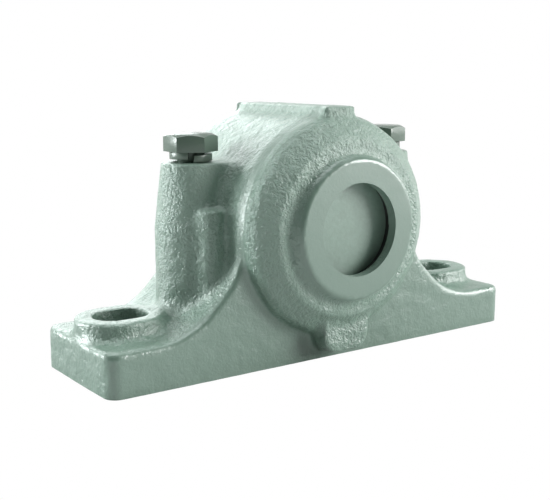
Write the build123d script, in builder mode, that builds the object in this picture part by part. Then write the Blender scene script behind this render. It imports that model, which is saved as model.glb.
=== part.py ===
from build123d import *
from math import radians, sqrt, tan
import os

# Split plummer block for a 25 mm shaft: a cast base and cap, bolted together round a self-aligning
# ball bearing on an adapter sleeve, with an end cover in front and a split shaft seal behind.
#
# Frame: X along the foot, Y along the shaft (end cover at -Y, open end at +Y), Z up. The origin is
# the middle of the underside, below the shaft axis. Lengths are in millimetres, angles in degrees.

os.makedirs("parts", exist_ok=True)

# ---------------------------------------------------------------- driving dimensions
# Foot, with an oblong boss round each slot: the slot's middle stands off from the bolt column's
# axis, and the foot ends beyond it
foot_width = 52.0
foot_thickness = 15.5
foot_corner = 5.0
slot_offset = 29.65
slot_end = 17.5
slot_width = 15.0
slot_length = 20.0
slot_boss_wall = 6.5
slot_boss_top = 22.0

# Pedestal: its ends sweep up from the foot to the neck below the split
shaft_height = 50.0
flare_run = 21.0
flare_foot_radius = 33.0
flare_neck_radius = 24.0
neck_inset = 0.75

# Cored pockets in the underside
pocket_width = 40.0
sump_pocket_length = 46.0
sump_pocket_depth = 11.0
flare_pocket_length = 30.0
flare_pocket_depth = 15.0
pocket_rib = 6.0
pocket_corner = 5.0

# Body of revolution about the shaft, with a round seal boss at each end: the rim lies inward from
# the seal boss face and below the body's top
body_radius = 41.0
rim_drop = 2.0
rim_inset = 9.75
rim_run = 5.25
overall_width = 82.0
shoulder_radius = 32.0
shoulder_blend = 2.6
seal_boss_radius = 26.2
seal_boss_step = 3.8

# Bolt columns, standing off from the body's side, dowel lugs, crown pad and front lobe
column_offset = 4.35
column_radius = 13.6
column_height = 24.0
column_draft = 6.5
lug_radius = 5.2
lug_offset = 12.4
lug_height = 8.0
pad_length = 60.0
pad_width = 14.0
pad_height = 2.6
pad_corner = 2.0
lobe_width = 21.0
lobe_corner = 6.5
lobe_inset = 2.7
lobe_bottom = 3.5

# Rounding of the raw cast edges, and fillets in the castings' inside corners
foot_edge = 2.0
boss_edge = 1.2
slot_edge = 0.8
pad_edge = 0.8
base_fillet = 2.0
wing_fillet = 2.5
pad_fillet = 3.0
parting_stock = 6.0

# Bored inside: bearing seat, side chambers, shaft openings and seal grooves
seat_width = 32.0
chamber_radius = 27.0
chamber_wall = 3.0
opening_radius = 16.9
lip_wall = 4.0
groove_width = 7.0
groove_radius = 22.5

# Self-aligning ball bearing with a tapered bore, 1 in 12 on the diameter
bearing_diameter = 62.0
bearing_width = 20.0
bearing_bore = 30.0
bore_taper = 1 / 24
ball_diameter = 7.94
ball_count = 12
pitch_diameter = 46.0
row_offset = 5.0
shoulder_diameter = 40.4
cage_width = 15.2
cage_thickness = 3.6
locating_ring_inner = 27.5
locating_ring_gap = 14.0

# Adapter sleeve, lock washer and lock nut
shaft_diameter = 25.0
sleeve_front = 19.5
sleeve_rear = 11.5
sleeve_slit = 2.0
keyway_width = 5.0
washer_thickness = 1.25
washer_body_radius = 20.4
washer_tooth_radius = 24.5
washer_tooth_count = 13
washer_tooth_width = 4.3
tab_reach = 1.7
nut_diameter = 45.0
nut_width = 7.0
nut_slot_width = 5.0
nut_slot_depth = 2.0
nut_slot_count = 4

# End cover, its rubber ring, and the two-lip shaft seal
cover_thickness = 4.0
cover_radius = 20.0
cover_ring_lip = 1.8
seal_body_radius = 16.5
seal_lip_radius = 12.6
seal_lip_splay = 1.2
seal_lip_thickness = 1.2

# Cap bolts, M10, with spring washers, and dowel pins
bolt_diameter = 10.0
bolt_length = 50.0
bolt_across_flats = 17.0
bolt_head_height = 6.4
bolt_head_chamfer = 1.3
bolt_hole_diameter = 11.0
bolt_hole_end = 4.0
left_head_turn = 29.4
right_head_turn = 12.0
spring_washer_inner = 10.2
spring_washer_outer = 15.4
spring_washer_section = 2.5
spring_washer_rise = 1.1
spring_washer_turn = 344.0
left_slit_turn = -112.0
right_slit_turn = 60.0
pin_diameter = 5.0
pin_length = 14.0
pin_chamfer = 0.5

# Clearances between mating pieces
seat_clearance = 0.03
fit_gap = 0.05
race_gap = 0.06
pocket_gap = 0.15

# ---------------------------------------------------------------- derived places
split_plane = Plane.XY.offset(shaft_height)
shaft_axis = Axis((0, 0, shaft_height), (0, 1, 0))
neck_half = body_radius - neck_inset
flare_toe = neck_half + flare_run
seal_face = overall_width / 2
shoulder_face = seal_face - seal_boss_step
rim_face = seal_face - rim_inset
rim_radius = body_radius - rim_drop
body_face = rim_face - rim_run
groove_outer = seal_face - lip_wall
groove_inner = groove_outer - groove_width
groove_middle = (groove_outer + groove_inner) / 2
chamber_face = groove_inner - chamber_wall
column_x = body_radius + column_offset
slot_x = column_x + slot_offset
foot_length = 2 * (slot_x + slot_end)
boss_top = shaft_height + column_height
bearing_radius = bearing_diameter / 2
bearing_side = bearing_width / 2
pitch_radius = pitch_diameter / 2
ball_radius = ball_diameter / 2
race_sphere_radius = sqrt(pitch_radius**2 + row_offset**2) + ball_radius + race_gap
sleeve_radius = bearing_bore / 2
head_seat = boss_top + spring_washer_section + spring_washer_rise


def axis_z(radius):
    """Height of a point that lies the given radius above the shaft axis."""
    return shaft_height + radius


def inside_corners(solid, least_angle=12.0):
    """Edges of a solid where two faces meet in an inside corner, not tangent to each other."""
    sides = {}
    for face in solid.faces():
        for edge in face.edges():
            sides.setdefault(edge, []).append(face)
    found = []
    for edge, faces in sides.items():
        if len(faces) != 2:
            continue
        middle = edge.position_at(0.5)
        normals = [face.normal_at(middle) for face in faces]
        if normals[0].get_angle(normals[1]) < least_angle:
            continue
        if solid.is_inside(middle + (normals[0] - normals[1]).normalized() * 0.03):
            found.append(edge)
    return found


# ---------------------------------------------------------------- forms shared by base and cap
# The housing's outside is turned about the shaft: drum, rounded shoulder, flat end and seal boss.
with BuildPart() as body_form:
    with BuildSketch(Plane.YZ):
        with BuildLine():
            FilletPolyline(
                (0, axis_z(body_radius)),
                (-body_face, axis_z(body_radius)),
                (-rim_face, axis_z(rim_radius)),
                (-shoulder_face + boss_edge / 4, axis_z(shoulder_radius)),
                (-shoulder_face, axis_z(seal_boss_radius)),
                (-seal_face, axis_z(seal_boss_radius)),
                (-seal_face, shaft_height),
                radius=[6.0, 1.2, 2.0, shoulder_blend, boss_edge],
            )
            Polyline((-seal_face, shaft_height), (0, shaft_height), (0, axis_z(body_radius)))
        make_face()
    revolve(axis=shaft_axis)
    mirror(about=Plane.XZ)

# The bored inside: seat for the bearing and its locating rings, then a chamber, a shaft opening
# and a seal groove towards each end.
with BuildPart() as bore_form:
    with BuildSketch(Plane.YZ):
        with BuildLine():
            Polyline(
                (0, shaft_height),
                (0, axis_z(bearing_radius + seat_clearance)),
                (-seat_width / 2, axis_z(bearing_radius + seat_clearance)),
                (-seat_width / 2, axis_z(chamber_radius)),
                (-chamber_face, axis_z(chamber_radius)),
                (-chamber_face, axis_z(opening_radius)),
                (-groove_inner, axis_z(opening_radius)),
                (-groove_inner, axis_z(groove_radius)),
                (-groove_outer, axis_z(groove_radius)),
                (-groove_outer, axis_z(opening_radius)),
                (-seal_face, axis_z(opening_radius)),
                (-seal_face, shaft_height),
                (0, shaft_height),
            )
        make_face()
    revolve(axis=shaft_axis)
    mirror(about=Plane.XZ)

# The base's drum with its bolt columns, which are straight below the split and run on above it so
# that their corners pass through the split.
with BuildPart() as drum_form:
    add(body_form.part)
    with BuildSketch(split_plane):
        SlotCenterToCenter(2 * column_x, 2 * column_radius)
    extrude(amount=column_height, taper=column_draft)
    with BuildSketch(split_plane):
        SlotCenterToCenter(2 * column_x, 2 * column_radius)
    extrude(amount=-(shaft_height - foot_thickness))
    fillet(inside_corners(drum_form.part.solids()[0]), radius=wing_fillet)

lug_places = [(-column_x, -lug_offset), (column_x, lug_offset)]
slot_places = [(-slot_x, 0), (slot_x, 0)]

# The oblong bosses round the slots, with rounded upper edges.
with BuildPart() as slot_boss_form:
    with BuildSketch(Plane.XY.offset(slot_boss_top)):
        with Locations(*slot_places):
            SlotOverall(slot_length + 2 * slot_boss_wall, slot_width + 2 * slot_boss_wall)
    extrude(amount=-slot_boss_top / 2, taper=-1)
    fillet(slot_boss_form.faces().sort_by(Axis.Z)[-2:].edges(), radius=boss_edge)

# ---------------------------------------------------------------- base
with BuildPart() as base:
    # Foot plate and pedestal, rounded along their upper edges
    with BuildSketch(Plane.XY):
        RectangleRounded(foot_length, foot_width, foot_corner)
    extrude(amount=foot_thickness)
    with BuildSketch(Plane.XZ):
        with BuildLine():
            FilletPolyline(
                (-foot_length / 2 + foot_corner, foot_thickness),
                (-flare_toe, foot_thickness),
                (-neck_half, foot_thickness + flare_run),
                (-neck_half, shaft_height),
                radius=[flare_foot_radius, flare_neck_radius],
            )
            Polyline(
                (-neck_half, shaft_height),
                (0, shaft_height),
                (0, 0),
                (-foot_length / 2 + foot_corner, 0),
                (-foot_length / 2 + foot_corner, foot_thickness),
            )
        make_face()
        mirror(about=Plane.YZ)
    extrude(amount=foot_width / 2, both=True)
    upper = [
        edge
        for edge in base.edges()
        if foot_thickness - 0.1 < edge.center().Z < shaft_height - 0.1
        and (
            abs(abs(edge.center().Y) - foot_width / 2) < 0.1
            or abs(edge.center().X) > foot_length / 2 - foot_corner
        )
        and not (edge.geom_type == GeomType.LINE and abs(edge.tangent_at(0).Z) > 0.99)
    ]
    fillet(upper, radius=foot_edge)

    # Drum and bolt columns
    add(drum_form.part)

    # Lobe below each seal boss
    with BuildSketch(Plane.XZ):
        with Locations((0, lobe_bottom)):
            RectangleRounded(
                lobe_width, 2 * seal_boss_radius, lobe_corner, align=(Align.CENTER, Align.MIN)
            )
    extrude(amount=shoulder_face - lobe_inset, both=True)

    # Fillets in all inside corners of the raw casting, then the dowel lugs
    add(slot_boss_form.part)
    fillet(inside_corners(base.part.solids()[0]), radius=base_fillet)
    with BuildSketch(split_plane.offset(lug_height)):
        with Locations(*lug_places):
            Circle(lug_radius)
    extrude(amount=-(lug_height + shaft_height - foot_thickness))

    # Slots through the oblong bosses
    with BuildSketch(Plane.XY.offset(slot_boss_top)):
        with Locations(*slot_places):
            SlotOverall(slot_length, slot_width)
    extrude(amount=-slot_boss_top, mode=Mode.SUBTRACT)
    rims = [
        edge
        for edge in base.edges().filter_by_position(Axis.Z, slot_boss_top, slot_boss_top)
        if abs(abs(edge.center().X) - slot_x) < slot_length / 2 + 0.1
        and abs(edge.center().Y) < slot_width / 2 + 0.1
    ]
    fillet(rims, radius=slot_edge)

    # Cored pockets in the underside
    with BuildSketch(Plane.XY):
        RectangleRounded(sump_pocket_length, pocket_width, pocket_corner)
    extrude(amount=sump_pocket_depth, taper=3, mode=Mode.SUBTRACT)
    flare_pocket_x = sump_pocket_length / 2 + pocket_rib + flare_pocket_length / 2
    with BuildSketch(Plane.XY):
        with Locations((-flare_pocket_x, 0), (flare_pocket_x, 0)):
            RectangleRounded(flare_pocket_length, pocket_width, pocket_corner)
    extrude(amount=flare_pocket_depth, taper=3, mode=Mode.SUBTRACT)

    # Machined inside, tapped bolt holes and dowel holes, cut off at the split
    add(bore_form.part, mode=Mode.SUBTRACT)
    with BuildSketch(split_plane):
        with Locations((-column_x, 0), (column_x, 0)):
            Circle(bolt_diameter / 2 + fit_gap)
    extrude(amount=-(bolt_length - column_height + bolt_hole_end), mode=Mode.SUBTRACT)
    with BuildSketch(split_plane):
        with Locations(*lug_places):
            Circle(pin_diameter / 2 + seat_clearance)
    extrude(amount=-pin_length / 2 - pin_chamfer, mode=Mode.SUBTRACT)
    split(bisect_by=split_plane, keep=Keep.BOTTOM)
base.part.label = "base"
export_step(base.part, "parts/base.step")

# ---------------------------------------------------------------- cap
with BuildPart() as cap:
    # Drum with a drafted wing for each bolt. The wings start a little below the split, so that the
    # corners beside the drum run through it.
    add(body_form.part)
    wing_width = 2 * (column_radius + parting_stock * tan(radians(column_draft)))
    with BuildSketch(split_plane.offset(-parting_stock)):
        SlotCenterToCenter(2 * column_x, wing_width)
    extrude(amount=parting_stock + column_height, taper=column_draft)
    low = shaft_height - parting_stock + 0.5
    hollows = [edge for edge in inside_corners(cap.part.solids()[0]) if edge.center().Z > low]
    fillet(hollows, radius=wing_fillet)

    # Dowel lugs
    with BuildSketch(split_plane.offset(lug_height)):
        with Locations(*lug_places):
            Circle(lug_radius)
    extrude(amount=-2 * lug_height)

    # Crown pad
    with BuildSketch(Plane.XY.offset(axis_z(body_radius) + pad_height)):
        RectangleRounded(pad_width, pad_length, pad_corner)
    extrude(amount=-pad_height - shoulder_radius / 4)
    fillet(cap.faces().sort_by(Axis.Z)[-1].edges(), radius=pad_edge)
    hollows = [edge for edge in inside_corners(cap.part.solids()[0]) if edge.center().Z > boss_top]
    fillet(hollows, radius=pad_fillet)

    # Machined inside, bolt and dowel holes, cut off at the split
    add(bore_form.part, mode=Mode.SUBTRACT)
    with BuildSketch(split_plane):
        with Locations((-column_x, 0), (column_x, 0)):
            Circle(bolt_hole_diameter / 2)
    extrude(amount=column_height, mode=Mode.SUBTRACT)
    with BuildSketch(split_plane):
        with Locations(*lug_places):
            Circle(pin_diameter / 2 + seat_clearance)
    extrude(amount=pin_length / 2 - pin_chamfer, mode=Mode.SUBTRACT)
    split(bisect_by=split_plane, keep=Keep.TOP)
cap.part.label = "cap"
export_step(cap.part, "parts/cap.step")

# ---------------------------------------------------------------- dowel pins
pin_names = ["front", "rear"]
for name, (x, y) in zip(pin_names, lug_places):
    with BuildPart() as pin:
        with BuildSketch(split_plane):
            with Locations((x, y)):
                Circle(pin_diameter / 2)
        extrude(amount=pin_length / 2 - 2 * pin_chamfer, both=True)
        chamfer(pin.edges().filter_by(GeomType.CIRCLE), length=pin_chamfer)
    pin.part.label = "dowel_pin_" + name
    export_step(pin.part, "parts/dowel_pin_" + name + ".step")

# ---------------------------------------------------------------- cap bolts and spring washers
bolt_places = {
    "left": (-column_x, left_head_turn, left_slit_turn),
    "right": (column_x, right_head_turn, right_slit_turn),
}
head_circle = bolt_across_flats / sqrt(3)
for name, (x, head_turn, slit_turn) in bolt_places.items():
    with BuildPart() as bolt:
        with BuildSketch(Plane.XY.offset(head_seat)):
            with Locations((x, 0)):
                RegularPolygon(head_circle, 6, rotation=head_turn)
        extrude(amount=bolt_head_height)
        with BuildSketch(Plane.XZ):
            with BuildLine():
                Polyline(
                    (x, head_seat - 1),
                    (x + head_circle + 0.2, head_seat - 1),
                    (x + head_circle + 0.2, head_seat + bolt_head_height - bolt_head_chamfer),
                    (x + bolt_across_flats / 2 - 0.8, head_seat + bolt_head_height),
                    (x, head_seat + bolt_head_height),
                    (x, head_seat - 1),
                )
            make_face()
        revolve(axis=Axis((x, 0, 0), (0, 0, 1)), mode=Mode.INTERSECT)
        with BuildSketch(Plane.XY.offset(head_seat)):
            with Locations((x, 0)):
                Circle(bolt_diameter / 2)
        extrude(amount=-bolt_length)
        chamfer(bolt.faces().sort_by(Axis.Z)[0].edges(), length=1)
    bolt.part.label = "cap_bolt_" + name
    export_step(bolt.part, "parts/cap_bolt_" + name + ".step")

    # One turn of square wire, its two ends a little apart in height
    washer_middle = (spring_washer_outer + spring_washer_inner) / 4
    wire_width = (spring_washer_outer - spring_washer_inner) / 2
    turn = spring_washer_turn
    with BuildPart() as washer:
        with BuildLine() as coil:
            Helix(
                pitch=(spring_washer_rise - 0.02) * 360 / turn,
                height=spring_washer_rise - 0.02,
                radius=washer_middle,
                center=(x, 0, boss_top + spring_washer_section / 2 + 0.01),
            )
        start = coil.wires()[0] @ 0
        with BuildSketch(Plane(origin=start, x_dir=(1, 0, 0), z_dir=(0, 1, 0))):
            Rectangle(wire_width, spring_washer_section)
        sweep(path=coil.wires()[0], is_frenet=True)
    with BuildPart() as spring_washer:
        add(washer.part.rotate(Axis((x, 0, 0), (0, 0, 1)), slit_turn))
    spring_washer.part.label = "spring_washer_" + name
    export_step(spring_washer.part, "parts/spring_washer_" + name + ".step")

# ---------------------------------------------------------------- end cover and its rubber ring
# The disc stands in the front groove against the wall between groove and chamber.
cover_rear = -groove_inner
with BuildPart() as end_cover:
    with BuildSketch(Plane.YZ):
        with BuildLine():
            Polyline(
                (cover_rear, shaft_height),
                (cover_rear, axis_z(cover_radius)),
                (cover_rear - cover_thickness, axis_z(cover_radius)),
                (cover_rear - cover_thickness, shaft_height),
                (cover_rear, shaft_height),
            )
        make_face()
    revolve(axis=shaft_axis)
end_cover.part.label = "end_cover"
export_step(end_cover.part, "parts/end_cover.step")

with BuildPart() as end_cover_ring:
    with BuildSketch(Plane.YZ):
        with BuildLine():
            Polyline(
                (cover_rear, axis_z(cover_radius + fit_gap)),
                (cover_rear, axis_z(groove_radius - fit_gap)),
                (-groove_outer, axis_z(groove_radius - fit_gap)),
                (-groove_outer, axis_z(cover_radius - cover_ring_lip)),
                (cover_rear - cover_thickness, axis_z(cover_radius - cover_ring_lip)),
                (cover_rear - cover_thickness, axis_z(cover_radius + fit_gap)),
                (cover_rear, axis_z(cover_radius + fit_gap)),
            )
        make_face()
    revolve(axis=shaft_axis)
end_cover_ring.part.label = "end_cover_ring"
export_step(end_cover_ring.part, "parts/end_cover_ring.step")

# ---------------------------------------------------------------- split shaft seal
# A ring in the rear groove with a lip at each side, cut in two halves at the split.
with BuildPart() as seal_form:
    with BuildSketch(Plane.YZ):
        with BuildLine():
            Polyline(
                (groove_inner, axis_z(groove_radius - fit_gap)),
                (groove_outer, axis_z(groove_radius - fit_gap)),
                (groove_outer, axis_z(seal_body_radius)),
                (groove_outer + seal_lip_splay, axis_z(seal_lip_radius)),
                (groove_outer + seal_lip_splay - seal_lip_thickness, axis_z(seal_lip_radius)),
                (groove_outer - 2 * seal_lip_thickness, axis_z(seal_body_radius)),
                (groove_inner + 2 * seal_lip_thickness, axis_z(seal_body_radius)),
                (groove_inner - seal_lip_splay + seal_lip_thickness, axis_z(seal_lip_radius)),
                (groove_inner - seal_lip_splay, axis_z(seal_lip_radius)),
                (groove_inner, axis_z(seal_body_radius)),
                (groove_inner, axis_z(groove_radius - fit_gap)),
            )
        make_face()
    revolve(axis=shaft_axis)

with BuildPart() as shaft_seal_lower:
    add(seal_form.part)
    split(bisect_by=split_plane, keep=Keep.BOTTOM)
shaft_seal_lower.part.label = "shaft_seal_lower"
export_step(shaft_seal_lower.part, "parts/shaft_seal_lower.step")

with BuildPart() as shaft_seal_upper:
    add(seal_form.part)
    split(bisect_by=split_plane, keep=Keep.TOP)
shaft_seal_upper.part.label = "shaft_seal_upper"
export_step(shaft_seal_upper.part, "parts/shaft_seal_upper.step")

# ---------------------------------------------------------------- locating rings
# One open ring fills the seat on each side of the bearing; its gap is at the top.
ring_sides = {"front": -1, "rear": 1}
for name, side in ring_sides.items():
    with BuildPart() as locating_ring:
        with BuildSketch(Plane.XZ.offset(-side * bearing_side)):
            with Locations((0, shaft_height)):
                Circle(bearing_radius)
                Circle(locating_ring_inner, mode=Mode.SUBTRACT)
                Rectangle(
                    locating_ring_gap,
                    bearing_diameter,
                    align=(Align.CENTER, Align.MIN),
                    mode=Mode.SUBTRACT,
                )
        extrude(amount=-side * (seat_width - bearing_width) / 2)
    locating_ring.part.label = "locating_ring_" + name
    export_step(locating_ring.part, "parts/locating_ring_" + name + ".step")

# ---------------------------------------------------------------- bearing
# Outer ring with a spherical raceway centred on the bearing
with BuildPart() as bearing_outer_ring:
    with BuildSketch(Plane.XZ.offset(-bearing_side)):
        with Locations((0, shaft_height)):
            Circle(bearing_radius)
    extrude(amount=bearing_width)
    chamfer(bearing_outer_ring.edges().filter_by(GeomType.CIRCLE), length=0.8)
    with Locations((0, 0, shaft_height)):
        Sphere(race_sphere_radius, mode=Mode.SUBTRACT)
bearing_outer_ring.part.label = "bearing_outer_ring"
export_step(bearing_outer_ring.part, "parts/bearing_outer_ring.step")

# Inner ring with two ball grooves and a tapered bore, narrow end in front
groove_ball_radius = ball_radius + race_gap
small_bore = sleeve_radius
large_bore = small_bore + bearing_width * bore_taper
with BuildPart() as bearing_inner_ring:
    with BuildSketch(Plane.YZ):
        with BuildLine():
            Polyline(
                (-bearing_side, axis_z(small_bore)),
                (-bearing_side, axis_z(shoulder_diameter / 2)),
                (bearing_side, axis_z(shoulder_diameter / 2)),
                (bearing_side, axis_z(large_bore)),
                (-bearing_side, axis_z(small_bore)),
            )
        make_face()
        with Locations((-row_offset, axis_z(pitch_radius)), (row_offset, axis_z(pitch_radius))):
            Circle(groove_ball_radius, mode=Mode.SUBTRACT)
    revolve(axis=shaft_axis)
bearing_inner_ring.part.label = "bearing_inner_ring"
export_step(bearing_inner_ring.part, "parts/bearing_inner_ring.step")

# Two rows of balls, the rear row half a step further round, in one cage with open pockets
ball_step = 360 / ball_count
row_places = {"front": (-row_offset, 0), "rear": (row_offset, ball_step / 2)}
for name, (y, start) in row_places.items():
    with BuildPart() as ball_row:
        with Locations(Plane((0, y, shaft_height), x_dir=(1, 0, 0), z_dir=(0, 1, 0))):
            with PolarLocations(pitch_radius, ball_count, start_angle=start):
                Sphere(ball_radius)
    ball_row.part.label = "ball_row_" + name
    export_step(ball_row.part, "parts/ball_row_" + name + ".step")

with BuildPart() as ball_cage:
    with BuildSketch(Plane.XZ.offset(-cage_width / 2)):
        with Locations((0, shaft_height)):
            Circle(pitch_radius + cage_thickness / 2)
            Circle(pitch_radius - cage_thickness / 2, mode=Mode.SUBTRACT)
    extrude(amount=cage_width)
    for y, start in row_places.values():
        with Locations(Plane((0, y, shaft_height), x_dir=(1, 0, 0), z_dir=(0, 1, 0))):
            with PolarLocations(pitch_radius, ball_count, start_angle=start):
                Sphere(ball_radius + pocket_gap, mode=Mode.SUBTRACT)
ball_cage.part.label = "ball_cage"
export_step(ball_cage.part, "parts/ball_cage.step")

# ---------------------------------------------------------------- adapter sleeve
# Tapered outside under the bearing, straight threaded end in front, slit along its whole length
with BuildPart() as adapter_sleeve:
    with BuildSketch(Plane.YZ):
        with BuildLine():
            Polyline(
                (-sleeve_front, axis_z(shaft_diameter / 2)),
                (-sleeve_front, axis_z(sleeve_radius - 0.8)),
                (-sleeve_front + 0.8, axis_z(sleeve_radius - seat_clearance)),
                (-bearing_side, axis_z(sleeve_radius - seat_clearance)),
                (
                    sleeve_rear,
                    axis_z(
                        sleeve_radius
                        - seat_clearance
                        + (sleeve_rear + bearing_side) * bore_taper
                    ),
                ),
                (sleeve_rear, axis_z(shaft_diameter / 2)),
                (-sleeve_front, axis_z(shaft_diameter / 2)),
            )
        make_face()
    revolve(axis=shaft_axis)
    with BuildSketch(Plane.XZ.offset(-sleeve_rear)):
        with Locations((0, shaft_height)):
            Rectangle(
                sleeve_slit, bearing_bore, align=(Align.CENTER, Align.MIN), mode=Mode.ADD
            )
    extrude(amount=sleeve_front + sleeve_rear, mode=Mode.SUBTRACT)
    with BuildSketch(Plane.XZ.offset(bearing_side)):
        with Locations((0, axis_z(sleeve_radius - tab_reach))):
            Rectangle(keyway_width, 2 * tab_reach, align=(Align.CENTER, Align.MIN))
    extrude(amount=sleeve_front - bearing_side, mode=Mode.SUBTRACT)
adapter_sleeve.part.label = "adapter_sleeve"
export_step(adapter_sleeve.part, "parts/adapter_sleeve.step")

# ---------------------------------------------------------------- lock washer
# Thin ring against the inner ring: teeth outside, one tab in the sleeve's keyway
with BuildPart() as lock_washer:
    with BuildSketch(Plane.XZ.offset(bearing_side)):
        with Locations((0, shaft_height)):
            Circle(washer_body_radius)
            with PolarLocations(0, washer_tooth_count, start_angle=90):
                Rectangle(
                    washer_tooth_radius, washer_tooth_width, align=(Align.MIN, Align.CENTER)
                )
            Circle(sleeve_radius + fit_gap, mode=Mode.SUBTRACT)
        with Locations((0, axis_z(sleeve_radius - tab_reach + fit_gap))):
            Rectangle(
                keyway_width - 4 * fit_gap, 2 * tab_reach, align=(Align.CENTER, Align.MIN)
            )
    extrude(amount=washer_thickness)
lock_washer.part.label = "lock_washer"
export_step(lock_washer.part, "parts/lock_washer.step")

# ---------------------------------------------------------------- lock nut
with BuildPart() as lock_nut:
    with BuildSketch(Plane.XZ.offset(bearing_side + washer_thickness)):
        with Locations((0, shaft_height)):
            Circle(nut_diameter / 2)
    extrude(amount=nut_width)
    chamfer(lock_nut.edges().filter_by(GeomType.CIRCLE), length=1)
    with BuildSketch(Plane.XZ.offset(bearing_side + washer_thickness)):
        with Locations((0, shaft_height)):
            Circle(sleeve_radius + fit_gap)
            with PolarLocations(nut_diameter / 2 - nut_slot_depth, nut_slot_count, start_angle=45):
                Rectangle(
                    2 * nut_slot_depth, nut_slot_width, align=(Align.MIN, Align.CENTER)
                )
    extrude(amount=nut_width, mode=Mode.SUBTRACT)
lock_nut.part.label = "lock_nut"
export_step(lock_nut.part, "parts/lock_nut.step")
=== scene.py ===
import math

import bpy
import numpy as np
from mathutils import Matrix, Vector


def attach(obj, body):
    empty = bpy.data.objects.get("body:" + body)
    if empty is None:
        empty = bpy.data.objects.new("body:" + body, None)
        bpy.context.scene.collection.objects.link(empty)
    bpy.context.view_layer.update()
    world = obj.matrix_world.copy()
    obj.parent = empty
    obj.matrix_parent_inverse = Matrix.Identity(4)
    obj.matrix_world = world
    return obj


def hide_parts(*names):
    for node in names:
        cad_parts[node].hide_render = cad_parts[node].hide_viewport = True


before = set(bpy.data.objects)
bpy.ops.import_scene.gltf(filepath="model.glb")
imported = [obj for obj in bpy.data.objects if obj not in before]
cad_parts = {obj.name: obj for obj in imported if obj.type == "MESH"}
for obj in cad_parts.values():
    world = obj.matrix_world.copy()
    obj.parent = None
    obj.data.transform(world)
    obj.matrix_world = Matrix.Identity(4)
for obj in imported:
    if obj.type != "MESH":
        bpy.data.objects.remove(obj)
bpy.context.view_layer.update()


# ---------------------------------------------------------------- housing base
# The foot and the lower half of the housing: grey iron, cast in sand and painted gloss green. The
# underside, the split, the bearing seat, the end faces, the openings and the slots are machined, and
# all the rest is the raw skin of the casting under paint.
SHAFT_Z = 0.050
SPLIT_Z = 0.050
UNDERSIDE_Z = 0.0
SEAL_FACE_Y = 0.041
SEAL_BOSS_R = 0.0262
OPENING_R = 0.0169
COLUMN_X = 0.04535
SLOT_X = 0.075
SLOT_HALF_STRAIGHT = 0.0025

# Paint, as red, green and blue, with painted shade between the grains and painted highlight on top of
# them.
PAINT = (0.165, 0.252, 0.200)
GRAIN_HOLLOW_PAINTED_SHADE = 0.78
GRAIN_CREST_PAINTED_HIGHLIGHT = 1.16
# Size of one grain and depth of the relief, in metres, and how dull the paint is.
CASTING_GRAIN = 0.0009
CASTING_DEPTH = 0.0011
CASTING_ROUGHNESS = 0.32
# How coarse the skin is at a distance from the middle plane: columns, flat front, shoulder, end face.
COARSENESS = (
    (0.0, 1.0), (0.0215, 1.0), (0.0255, 0.34), (0.0266, 0.40),
    (0.0285, 1.3), (0.0365, 1.1), (0.0395, 0.35), (0.0404, 0.06),
)
# The skin is finer on the two ends of the foot and low down on the pedestal.
FOOT_END_FROM = 0.0885
FOOT_END_TO = 0.0915
FOOT_END_COARSENESS = 0.35
PEDESTAL_FROM = 0.020
PEDESTAL_TO = 0.042
PEDESTAL_COARSENESS = 0.65
# Round grains and longer wormy ones are mixed, over broad lumps.
GRAIN_SHARE = 0.55
WORM_SHARE = 0.45
WORM_STRETCH = 0.55
LUMP_SCALE = 160.0


def feed(tree, socket, value):
    """Set a socket to a number, or link another node's output to it."""
    if isinstance(value, (int, float)):
        socket.default_value = value
    else:
        tree.links.new(value, socket)


def math_node(tree, kind, *values):
    node = tree.nodes.new("ShaderNodeMath")
    node.operation = kind
    for socket, value in zip(node.inputs, values):
        feed(tree, socket, value)
    return node.outputs[0]


def map_range(tree, value, low, high, at_low=0.0, at_high=1.0):
    node = tree.nodes.new("ShaderNodeMapRange")
    node.inputs["From Min"].default_value = low
    node.inputs["From Max"].default_value = high
    node.inputs["To Min"].default_value = at_low
    node.inputs["To Max"].default_value = at_high
    tree.links.new(value, node.inputs["Value"])
    return node.outputs["Result"]


def object_coords(tree):
    return tree.nodes.new("ShaderNodeTexCoord").outputs["Object"]


def noise_node(tree, scale, detail, rough=0.5, distort=0.0):
    node = tree.nodes.new("ShaderNodeTexNoise")
    feed(tree, node.inputs["Scale"], scale)
    node.inputs["Detail"].default_value = detail
    node.inputs["Roughness"].default_value = rough
    node.inputs["Distortion"].default_value = distort
    tree.links.new(object_coords(tree), node.inputs["Vector"])
    return node.outputs["Fac"]


def bump_node(tree, height, depth, normal=None):
    node = tree.nodes.new("ShaderNodeBump")
    node.inputs["Strength"].default_value = 1.0
    feed(tree, node.inputs["Distance"], depth)
    tree.links.new(height, node.inputs["Height"])
    if normal is not None:
        tree.links.new(normal, node.inputs["Normal"])
    return node.outputs["Normal"]


def new_group(name, inputs, outputs):
    """A shader node group with named sockets, and its input and output nodes."""
    group = bpy.data.node_groups.new(name, "ShaderNodeTree")
    for label in inputs:
        group.interface.new_socket(name=label, in_out="INPUT", socket_type="NodeSocketFloat")
    for label, kind in outputs:
        group.interface.new_socket(name=label, in_out="OUTPUT", socket_type=kind)
    return group, group.nodes.new("NodeGroupInput").outputs, group.nodes.new("NodeGroupOutput").inputs


def place_group(tree, group, **values):
    """Place a node group in a material, with that material's own values."""
    node = tree.nodes.new("ShaderNodeGroup")
    node.node_tree = group
    for label, value in values.items():
        node.inputs[label].default_value = value
    return node.outputs


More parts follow.
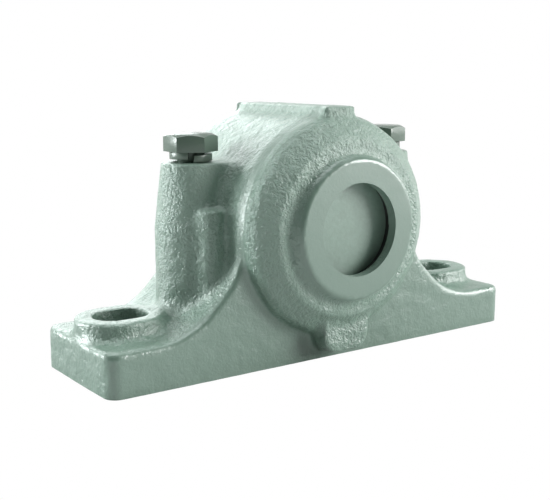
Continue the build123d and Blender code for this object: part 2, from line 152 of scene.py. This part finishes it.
# The skin of a sand casting: its relief, and the normal that the relief gives.
cast_skin, given, result = new_group(
    "cast_skin",
    ("Grains", "Worms", "Depth"),
    (("Relief", "NodeSocketFloat"), ("Normal", "NodeSocketVector")),
)
axes = cast_skin.nodes.new("ShaderNodeSeparateXYZ")
cast_skin.links.new(object_coords(cast_skin), axes.inputs[0])
off_centre = math_node(cast_skin, "ABSOLUTE", axes.outputs["Y"])
coarseness = cast_skin.nodes.new("ShaderNodeValToRGB")
for place, strength in COARSENESS:
    stop = coarseness.color_ramp.elements.new(place / SEAL_FACE_Y)
    stop.color = (strength, strength, strength, 1)
coarseness.color_ramp.elements.remove(coarseness.color_ramp.elements[0])
coarseness.color_ramp.elements.remove(coarseness.color_ramp.elements[-1])
cast_skin.links.new(math_node(cast_skin, "DIVIDE", off_centre, SEAL_FACE_Y), coarseness.inputs["Fac"])
off_side = math_node(cast_skin, "ABSOLUTE", axes.outputs["X"])
foot_end = map_range(cast_skin, off_side, FOOT_END_FROM, FOOT_END_TO, 1.0, FOOT_END_COARSENESS)
pedestal = map_range(
    cast_skin, axes.outputs["Z"], PEDESTAL_FROM, PEDESTAL_TO, PEDESTAL_COARSENESS, 1.0,
)
grains = noise_node(cast_skin, given["Grains"], detail=3.0, rough=0.6)
worms = noise_node(cast_skin, given["Worms"], detail=1.5, rough=0.5, distort=0.6)
lumps = noise_node(cast_skin, LUMP_SCALE, detail=2.0, rough=0.5)
relief = math_node(
    cast_skin, "ADD",
    math_node(cast_skin, "MULTIPLY", grains, GRAIN_SHARE),
    math_node(cast_skin, "MULTIPLY", worms, WORM_SHARE),
)
for share in (coarseness.outputs["Color"], foot_end, pedestal):
    relief = math_node(cast_skin, "MULTIPLY", relief, share)
lumps = math_node(cast_skin, "MULTIPLY", lumps, coarseness.outputs["Color"])
fine_normal = bump_node(cast_skin, relief, given["Depth"])
cast_skin.links.new(relief, result["Relief"])
cast_skin.links.new(bump_node(cast_skin, lumps, given["Depth"], fine_normal), result["Normal"])


def new_material(name):
    material = bpy.data.materials.new(name)
    material.use_nodes = True
    return material, material.node_tree, material.node_tree.nodes["Principled BSDF"]


def cast_paint(name, colour, grain, depth, roughness):
    """Gloss paint over a cast skin with grains of one size and depth."""
    material, tree, shader = new_material(name)
    skin = place_group(tree, cast_skin, Grains=1 / grain, Worms=WORM_STRETCH / grain, Depth=depth)
    # Painted shade in the hollows of the grains and painted highlight on their crests.
    grain_shade_and_highlight = tree.nodes.new("ShaderNodeMixRGB")
    grain_shade_and_highlight.blend_type = "MIX"
    grain_shade_and_highlight.inputs["Color1"].default_value = (*[c * GRAIN_HOLLOW_PAINTED_SHADE for c in colour], 1)
    grain_shade_and_highlight.inputs["Color2"].default_value = (*[min(1, c * GRAIN_CREST_PAINTED_HIGHLIGHT) for c in colour], 1)
    tree.links.new(skin["Relief"], grain_shade_and_highlight.inputs["Fac"])
    tree.links.new(grain_shade_and_highlight.outputs["Color"], shader.inputs["Base Color"])
    shader.inputs["Metallic"].default_value = 0.0
    shader.inputs["Roughness"].default_value = roughness
    shader.inputs["Specular IOR Level"].default_value = 1.0
    tree.links.new(skin["Normal"], shader.inputs["Normal"])
    return material


def dress(material, *names):
    """Give CAD pieces their finish."""
    for name in names:
        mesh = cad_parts[name].data
        mesh.materials.clear()
        mesh.materials.append(material)


def select_only(obj):
    bpy.ops.object.select_all(action="DESELECT")
    obj.select_set(True)
    bpy.context.view_layer.objects.active = obj


def apply_modifier(obj, kind, **settings):
    select_only(obj)
    mod = obj.modifiers.new(kind.title(), kind)
    for key, value in settings.items():
        setattr(mod, key, value)
    bpy.ops.object.modifier_apply(modifier=mod.name)


MERGE_WITHIN = 1e-6


def copy_of(node, name):
    """A working copy of a CAD piece, with its split corners merged."""
    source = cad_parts[node]
    obj = source.copy()
    obj.data = source.data.copy()
    obj.name = name
    bpy.context.collection.objects.link(obj)
    obj.parent = None
    select_only(obj)
    bpy.ops.object.mode_set(mode="EDIT")
    bpy.ops.mesh.select_all(action="SELECT")
    bpy.ops.mesh.remove_doubles(threshold=MERGE_WITHIN)
    bpy.ops.object.mode_set(mode="OBJECT")
    obj.data.materials.clear()
    return obj


# Machining stock left on a casting's level planes until the skin is done, and a mill cut's reach.
STOCK = 0.003
ON_PLANE = 1e-5
FACING = 0.99
MILL_WIDTH = 0.5


def faces_on_plane(obj, height, way):
    """Which faces lie on a level plane and look up (way 1) or down (way -1)."""
    polygons = obj.data.polygons
    centres = np.empty(len(polygons) * 3)
    polygons.foreach_get("center", centres)
    normals = np.empty(len(polygons) * 3)
    polygons.foreach_get("normal", normals)
    return (np.abs(centres[2::3] - height) < ON_PLANE) & (normals[2::3] * way > FACING)


def add_stock(obj, height, way):
    """Push the faces on one plane out past it."""
    chosen = faces_on_plane(obj, height, way)
    select_only(obj)
    bpy.ops.object.mode_set(mode="EDIT")
    bpy.ops.mesh.select_mode(type="FACE")
    bpy.ops.mesh.select_all(action="DESELECT")
    bpy.ops.object.mode_set(mode="OBJECT")
    obj.data.polygons.foreach_set("select", chosen)
    bpy.ops.object.mode_set(mode="EDIT")
    bpy.ops.mesh.extrude_region_move(TRANSFORM_OT_translate={"value": (0, 0, way * STOCK)})
    bpy.ops.object.mode_set(mode="OBJECT")


def machine_between(obj, low, high):
    """Cut away all that stands below one level or above another, and clear the paint slots."""
    bpy.ops.object.select_all(action="DESELECT")
    bpy.ops.mesh.primitive_cube_add(size=1, location=(0, 0, (low + high) / 2))
    block = bpy.context.active_object
    block.scale = (MILL_WIDTH, MILL_WIDTH, high - low)
    bpy.ops.object.transform_apply(location=True, rotation=False, scale=True)
    apply_modifier(obj, "BOOLEAN", operation="INTERSECT", object=block, solver="MANIFOLD")
    bpy.data.objects.remove(block, do_unlink=True)
    obj.data.materials.clear()


def positions(obj):
    co = np.empty(len(obj.data.vertices) * 3)
    obj.data.vertices.foreach_get("co", co)
    return co.reshape(-1, 3)


def ramp(value, low, high):
    return np.clip((value - low) / (high - low), 0, 1)


# What is machined, as radii and half widths about the shaft, and round the bolt holes and slots.
CHAMBER_R = 0.0312
CHAMBER_HALF_WIDTH = 0.0305
GROOVE_R = 0.0230
GROOVE_HALF_WIDTH = 0.0374
OPENING_WALL_R = 0.0178
OPENING_DEPTH = 0.004
FACE_FADE_FROM = 0.0012
FACE_FADE_TO = 0.0004
FACE_RIM = 0.0010
BOLT_HOLE_FADE = (0.0062, 0.0072)
SLOT_FADE = (0.0080, 0.0088)


def raw_skin(obj):
    """1 on the raw casting, 0 on what is machined: bores, grooves, end faces, holes and slots."""
    p = positions(obj)
    x, y, z = p[:, 0], p[:, 1], p[:, 2]
    r = np.hypot(x, z - SHAFT_Z)
    raw = np.ones(len(p))
    raw[(r < CHAMBER_R) & (np.abs(y) < CHAMBER_HALF_WIDTH)] = 0
    raw[r < OPENING_WALL_R] = 0
    end_face = ramp(np.abs(y), SEAL_FACE_Y - FACE_FADE_FROM, SEAL_FACE_Y - FACE_FADE_TO)
    raw *= 1 - end_face * (r < SEAL_BOSS_R - FACE_RIM)
    raw[(r < GROOVE_R) & (np.abs(y) < GROOVE_HALF_WIDTH)] = 0
    for side in (-1, 1):
        hole = np.hypot(x - side * COLUMN_X, y)
        raw *= ramp(hole, *BOLT_HOLE_FADE)
        slot = np.hypot(np.maximum(np.abs(x - side * SLOT_X) - SLOT_HALF_STRAIGHT, 0), y)
        raw *= ramp(slot, *SLOT_FADE)
    return raw


def true_up(obj, reach):
    """Bring the turned end faces and openings, blurred by the remesh, back to size."""
    p = positions(obj)
    x, y, z = p[:, 0], p[:, 1], p[:, 2] - SHAFT_Z
    r = np.hypot(x, z)
    face = (np.abs(np.abs(y) - SEAL_FACE_Y) < reach) & (r < SEAL_BOSS_R - FACE_RIM)
    p[face, 1] = np.sign(y[face]) * SEAL_FACE_Y
    opening = (np.abs(r - OPENING_R) < reach) & (np.abs(y) > SEAL_FACE_Y - OPENING_DEPTH)
    p[opening, 0] = x[opening] * OPENING_R / r[opening]
    p[opening, 2] = SHAFT_Z + z[opening] * OPENING_R / r[opening]
    obj.data.vertices.foreach_set("co", p.ravel())
    obj.data.update()


# How deep an edge is before it counts as hollow, as a share of the mesh's edge length.
HOLLOW_FROM = 0.02
HOLLOW_TO = 0.08
HOLLOW_FADE = 0.35
HOLLOW_SPREAD = 5


def hollows(obj):
    """1 along the hollow edges of the mesh, fading out over some steps to either side."""
    mesh = obj.data
    ends = np.empty(len(mesh.edges) * 2, dtype=int)
    mesh.edges.foreach_get("vertices", ends)
    start, end = ends[0::2], ends[1::2]
    count = len(mesh.vertices)
    degree = np.bincount(ends, minlength=count)

    def neighbour_mean(values):
        total = np.bincount(start, values[end], count) + np.bincount(end, values[start], count)
        return total / degree

    normals = np.empty(count * 3)
    mesh.vertices.foreach_get("normal", normals)
    normals = normals.reshape(-1, 3)
    p = positions(obj)
    pull = np.stack([neighbour_mean(p[:, axis]) - p[:, axis] for axis in range(3)], axis=1)
    depth = np.sum(pull * normals, axis=1)
    edge_length = np.sqrt(np.mean(np.sum((p[start] - p[end]) ** 2, axis=1)))
    hollow = ramp(depth / edge_length, HOLLOW_FROM, HOLLOW_TO)
    for _ in range(HOLLOW_SPREAD):
        hollow = np.maximum(hollow, neighbour_mean(hollow))
    return ramp(hollow, 0.0, HOLLOW_FADE)


WEIGHT_STEPS = 20


def weight_group(obj, name, weights):
    """A vertex group whose weights are given per vertex, in even steps."""
    group = obj.vertex_groups.new(name=name)
    steps = np.round(np.clip(weights, 0, 1) * WEIGHT_STEPS).astype(int)
    for step in range(1, WEIGHT_STEPS + 1):
        chosen = np.nonzero(steps == step)[0].tolist()
        if chosen:
            group.add(chosen, step / WEIGHT_STEPS, "REPLACE")


# The hollows stay tighter from the flat front and back outwards, and the crown pad keeps its edges.
END_ZONE = (0.0215, 0.0245)
END_TIGHTNESS = 0.85
PAD_EDGE = (0.0900, 0.0915)
SMOOTHING = 0.5
TRUE_UP_REACH = 0.6
SAND_DEPTH = 0.00035
SAND_SIZE = 0.006
sand_mould = bpy.data.textures.new("sand_mould", "CLOUDS")
sand_mould.noise_scale = SAND_SIZE
sand_mould.noise_depth = 2


def soften(obj, voxel, fill_passes, round_passes):
    """Even mesh, hollows filled to a moulder's radii, raw edges rounded and the skin made uneven."""
    apply_modifier(obj, "REMESH", mode="VOXEL", voxel_size=voxel, adaptivity=0.0)
    true_up(obj, TRUE_UP_REACH * voxel)
    p = positions(obj)
    looser = 1 - END_TIGHTNESS * ramp(np.abs(p[:, 1]), *END_ZONE)
    below_pad_edge = 1 - ramp(p[:, 2], *PAD_EDGE)
    weight_group(obj, "hollow", hollows(obj) * raw_skin(obj) * looser * below_pad_edge)
    apply_modifier(obj, "SMOOTH", factor=SMOOTHING, iterations=fill_passes, vertex_group="hollow")
    weight_group(obj, "raw", raw_skin(obj))
    apply_modifier(obj, "SMOOTH", factor=SMOOTHING, iterations=round_passes, vertex_group="raw")
    apply_modifier(
        obj, "DISPLACE", texture=sand_mould, texture_coords="LOCAL", vertex_group="raw",
        strength=SAND_DEPTH, mid_level=1.0,
    )


BASE_VOXEL = 0.00085
BASE_FILL_PASSES = 40
BASE_ROUND_PASSES = 4
CASTING_SMOOTH_ANGLE = math.radians(42)

housing_paint = cast_paint("housing_paint", PAINT, CASTING_GRAIN, CASTING_DEPTH, CASTING_ROUGHNESS)
dress(housing_paint, "base")
base_casting = copy_of("base", "base_casting")
add_stock(base_casting, SPLIT_Z, 1)
add_stock(base_casting, UNDERSIDE_Z, -1)
soften(base_casting, BASE_VOXEL, BASE_FILL_PASSES, BASE_ROUND_PASSES)
machine_between(base_casting, UNDERSIDE_Z, SPLIT_Z)
select_only(base_casting)
bpy.ops.object.shade_smooth_by_angle(angle=CASTING_SMOOTH_ANGLE)
base_casting.data.materials.append(housing_paint)
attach(base_casting, "housing")
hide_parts("base")


# ---------------------------------------------------------------- dowel pins
# Two hardened steel pins, pressed into the base's lugs beside the bolt columns. They place the cap on
# the base and are ground bright.
GROUND_GRAIN = 0.0004
GROUND_DEPTH = 0.00001

# The fine uneven sheen of turned, ground or moulded surfaces.
fine_grain, given, result = new_group("fine_grain", ("Grains", "Depth"), (("Normal", "NodeSocketVector"),))
fine_relief = noise_node(fine_grain, given["Grains"], detail=3.0)
fine_grain.links.new(bump_node(fine_grain, fine_relief, given["Depth"]), result["Normal"])


def plain(name, colour, metallic, roughness, grain=GROUND_GRAIN, depth=GROUND_DEPTH):
    """Metal or rubber of one colour with a fine uneven sheen."""
    material, tree, shader = new_material(name)
    skin = place_group(tree, fine_grain, Grains=1 / grain, Depth=depth)
    tree.links.new(skin["Normal"], shader.inputs["Normal"])
    shader.inputs["Base Color"].default_value = (*colour, 1)
    shader.inputs["Metallic"].default_value = metallic
    shader.inputs["Roughness"].default_value = roughness
    return material


pin_steel = plain("pin_steel", colour=(0.45, 0.45, 0.44), metallic=1.0, roughness=0.3)
dress(pin_steel, "dowel_pin_front", "dowel_pin_rear")


# ---------------------------------------------------------------- self-aligning ball bearing
# Two rings and two rows of balls of ground bearing steel, the balls lapped brighter than the rings.
# The cage that spaces them is pressed steel. The outer ring lies in the housing's seat.
bearing_steel = plain("bearing_steel", colour=(0.60, 0.60, 0.59), metallic=1.0, roughness=0.22)
ball_steel = plain("ball_steel", colour=(0.75, 0.75, 0.75), metallic=1.0, roughness=0.1)
cage_steel = plain("cage_steel", colour=(0.40, 0.39, 0.36), metallic=1.0, roughness=0.35)
dress(bearing_steel, "bearing_outer_ring", "bearing_inner_ring")
dress(ball_steel, "ball_row_front", "ball_row_rear")
dress(cage_steel, "ball_cage")


# ---------------------------------------------------------------- locating rings
# Open steel rings, laid in the seat on both sides of the outer ring. They keep the bearing from
# moving endways.
ring_steel = plain("ring_steel", colour=(0.42, 0.42, 0.41), metallic=1.0, roughness=0.35)
dress(ring_steel, "locating_ring_front", "locating_ring_rear")


# ---------------------------------------------------------------- adapter sleeve, lock washer and nut
# A slit tapered sleeve of turned steel that grips the shaft. The nut draws it into the inner ring, and
# a bent tooth of the lock washer holds the nut. Washer and nut are blackened.
sleeve_steel = plain("sleeve_steel", colour=(0.48, 0.48, 0.47), metallic=1.0, roughness=0.35)
lock_steel = plain("lock_steel", colour=(0.12, 0.125, 0.13), metallic=0.8, roughness=0.45)
dress(sleeve_steel, "adapter_sleeve")
dress(lock_steel, "lock_washer", "lock_nut")


# ---------------------------------------------------------------- shaft seal
# A black rubber seal with two lips that touch the shaft. It is moulded in two halves: one lies in the
# base's half of the rear groove, the other in the cap's.
seal_rubber = plain("seal_rubber", colour=(0.018, 0.018, 0.018), metallic=0.0, roughness=0.6)
dress(seal_rubber, "shaft_seal_lower", "shaft_seal_upper")


# ---------------------------------------------------------------- end cover
# A pressed disc that closes the front opening, painted with the housing but smoother than a casting,
# and held in the front groove by a rubber ring.
# The cover's colour is the housing paint made darker: painted shade for the disc set back in the opening.
COVER_SHADE = 0.92
COVER_GRAIN = 0.0012
COVER_DEPTH = 0.00006
COVER_ROUGHNESS = 0.38
COVER_PAINT = tuple(c * COVER_SHADE for c in PAINT)
cover_paint = cast_paint("cover_paint", COVER_PAINT, COVER_GRAIN, COVER_DEPTH, COVER_ROUGHNESS)
dress(cover_paint, "end_cover")
dress(seal_rubber, "end_cover_ring")


# ---------------------------------------------------------------- housing cap
# The upper half of the housing, cast, machined and painted like the base, and set on it over the two
# dowel pins. Its crown pad and bolt columns are raw.
CAP_VOXEL = 0.0007
CAP_FILL_PASSES = 60
CAP_ROUND_PASSES = 5
ABOVE_CAP_Z = 0.2

dress(housing_paint, "cap")
cap_casting = copy_of("cap", "cap_casting")
add_stock(cap_casting, SPLIT_Z, -1)
soften(cap_casting, CAP_VOXEL, CAP_FILL_PASSES, CAP_ROUND_PASSES)
machine_between(cap_casting, SPLIT_Z, ABOVE_CAP_Z)
select_only(cap_casting)
bpy.ops.object.shade_smooth_by_angle(angle=CASTING_SMOOTH_ANGLE)
cap_casting.data.materials.append(housing_paint)
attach(cap_casting, "housing")
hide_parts("cap")


# ---------------------------------------------------------------- cap bolts
# Two forged hex head bolts, painted over with the housing. They pass through the cap's columns and
# screw into the base. The edges of their heads are just broken.
BOLT_EDGE = 0.00030
BOLT_GRAIN = 0.0007
BOLT_DEPTH = 0.00003
FLAT_ANGLE = math.radians(0.5)
EDGE_ANGLE = math.radians(40)
BOLT_SMOOTH_ANGLE = math.radians(32)


def broken_edges(node, width):
    """A copy of a CAD piece with its sharp edges broken by a small round."""
    piece = copy_of(node, node + "_finished")
    select_only(piece)
    bpy.ops.object.mode_set(mode="EDIT")
    bpy.ops.mesh.select_all(action="SELECT")
    bpy.ops.mesh.dissolve_limited(angle_limit=FLAT_ANGLE)
    bpy.ops.object.mode_set(mode="OBJECT")
    apply_modifier(
        piece, "BEVEL", width=width, segments=2, limit_method="ANGLE",
        angle_limit=EDGE_ANGLE, use_clamp_overlap=True,
    )
    select_only(piece)
    bpy.ops.object.shade_smooth_by_angle(angle=BOLT_SMOOTH_ANGLE)
    return piece


bolt_steel = plain(
    "bolt_steel", colour=(0.090, 0.128, 0.100), metallic=0.0, roughness=0.24,
    grain=BOLT_GRAIN, depth=BOLT_DEPTH,
)
for node in ("cap_bolt_left", "cap_bolt_right"):
    dress(bolt_steel, node)
    bolt = broken_edges(node, BOLT_EDGE)
    bolt.data.materials.append(bolt_steel)
    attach(bolt, "housing")
    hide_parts(node)


# ---------------------------------------------------------------- spring washers
# A washer of spring steel under each bolt head, coiled from square wire and slit, so that it springs
# and keeps the bolt tight. It is painted over with the bolt.
WASHER_EDGE = 0.00020
washer_steel = plain("washer_steel", colour=(0.110, 0.150, 0.120), metallic=0.0, roughness=0.27)
for node in ("spring_washer_left", "spring_washer_right"):
    dress(washer_steel, node)
    washer = broken_edges(node, WASHER_EDGE)
    washer.data.materials.append(washer_steel)
    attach(washer, "housing")
    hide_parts(node)


# ---------------------------------------------------------------- floor and backdrop
# A pale floor that runs into a white backdrop behind the block. The camera sees both as pure white,
# and paint mirrors white only where the backdrop stands.
WHITE = (1, 1, 1, 1)
FLOOR_SIZE = 12
FLOOR_GREY = (0.74, 0.74, 0.74, 1)
FLOOR_BACKDROP = (0.495, 0.515)
SKY_BACKDROP = (-0.15, 0.35)
SKY_STRENGTH = 0.03
BACKDROP_STRENGTH = 1.0


def white_share(tree, mix, backdrop):
    """White to the camera, and to reflections where the backdrop stands."""
    side = tree.nodes.new("ShaderNodeSeparateXYZ")
    tree.links.new(tree.nodes.new("ShaderNodeTexCoord").outputs["Generated"], side.inputs[0])
    behind = map_range(tree, side.outputs["Y"], *backdrop)
    path = tree.nodes.new("ShaderNodeLightPath")
    mirrored = math_node(tree, "MULTIPLY", path.outputs["Is Glossy Ray"], behind)
    seen = math_node(tree, "MAXIMUM", path.outputs["Is Camera Ray"], mirrored)
    tree.links.new(seen, mix.inputs[0])


bpy.ops.object.select_all(action="DESELECT")
bpy.ops.mesh.primitive_plane_add(size=FLOOR_SIZE, location=(0, 0, 0))
floor = bpy.context.active_object
floor.name = "floor"
floor_white, tree, shader = new_material("floor_white")
shader.inputs["Base Color"].default_value = FLOOR_GREY
shader.inputs["Roughness"].default_value = 1.0
shader.inputs["Specular IOR Level"].default_value = 0.0
glow = tree.nodes.new("ShaderNodeEmission")
glow.inputs["Color"].default_value = WHITE
mix = tree.nodes.new("ShaderNodeMixShader")
white_share(tree, mix, FLOOR_BACKDROP)
tree.links.new(shader.outputs[0], mix.inputs[1])
tree.links.new(glow.outputs[0], mix.inputs[2])
tree.links.new(mix.outputs[0], tree.nodes["Material Output"].inputs["Surface"])
floor.data.materials.append(floor_white)

world = bpy.data.worlds.new("studio")
bpy.context.scene.world = world
world.use_nodes = True
tree = world.node_tree
sky = tree.nodes["Background"]
sky.inputs["Color"].default_value = WHITE
sky.inputs["Strength"].default_value = SKY_STRENGTH
backdrop = tree.nodes.new("ShaderNodeBackground")
backdrop.inputs["Color"].default_value = WHITE
backdrop.inputs["Strength"].default_value = BACKDROP_STRENGTH
mix = tree.nodes.new("ShaderNodeMixShader")
white_share(tree, mix, SKY_BACKDROP)
tree.links.new(sky.outputs[0], mix.inputs[1])
tree.links.new(backdrop.outputs[0], mix.inputs[2])
tree.links.new(mix.outputs[0], tree.nodes["World Output"].inputs["Surface"])


# ---------------------------------------------------------------- lamps
# Soft square lamps round the block, all aimed at the shaft. The light comes mostly from above and
# behind, with one lamp in front on the right. Places and sizes are in metres, powers in watts.
AIM = Vector((0, 0, 0.05))
NEUTRAL = (1, 1, 1)
COOL = (0.94, 1.0, 1.0)


def area_light(name, place, size, power, colour):
    data = bpy.data.lights.new(name, "AREA")
    data.shape = "RECTANGLE"
    data.size, data.size_y = size
    data.energy = power
    data.color = colour
    light = bpy.data.objects.new(name, data)
    bpy.context.collection.objects.link(light)
    light.location = place
    light.rotation_mode = "QUATERNION"
    light.rotation_quaternion = (AIM - Vector(place)).to_track_quat("-Z", "Y")


area_light("above", place=(0, 0.05, 1.0), size=(0.9, 0.9), power=8.6, colour=COOL)
area_light("behind", place=(0.1, 1.0, 0.45), size=(0.9, 0.5), power=6.8, colour=COOL)
area_light("behind_left", place=(-0.85, 0.6, 0.35), size=(0.5, 0.5), power=8.6, colour=COOL)
area_light("behind_left_low", place=(-0.90, 0.80, 0.12), size=(0.6, 0.2), power=7.0, colour=COOL)
area_light("right_side", place=(1.0, -0.25, 0.3), size=(0.5, 0.5), power=3.6, colour=NEUTRAL)
area_light("front_right", place=(0.75, -0.7, 0.35), size=(0.5, 0.5), power=12.4, colour=NEUTRAL)


# ---------------------------------------------------------------- camera
# It stands in front to the left of the block, a little above the shaft, and looks back along the
# line given here.
CAMERA_PLACE = (-0.225600, -0.304836, 0.106402)
CAMERA_LINE = Vector((0.57104478, 0.80073349, -0.18092467))
CAMERA_LENS = 64.293
CAMERA_SENSOR = 36
CAMERA_NEAR = 0.01
CAMERA_FAR = 50

camera_data = bpy.data.cameras.new("camera")
camera_data.sensor_width = CAMERA_SENSOR
camera_data.lens = CAMERA_LENS
camera_data.clip_start = CAMERA_NEAR
camera_data.clip_end = CAMERA_FAR
camera = bpy.data.objects.new("camera", camera_data)
bpy.context.collection.objects.link(camera)
camera.location = CAMERA_PLACE
camera.rotation_mode = "QUATERNION"
camera.rotation_quaternion = CAMERA_LINE.to_track_quat("-Z", "Y")
bpy.context.scene.camera = camera
bpy.context.scene.view_settings.view_transform = "Standard"
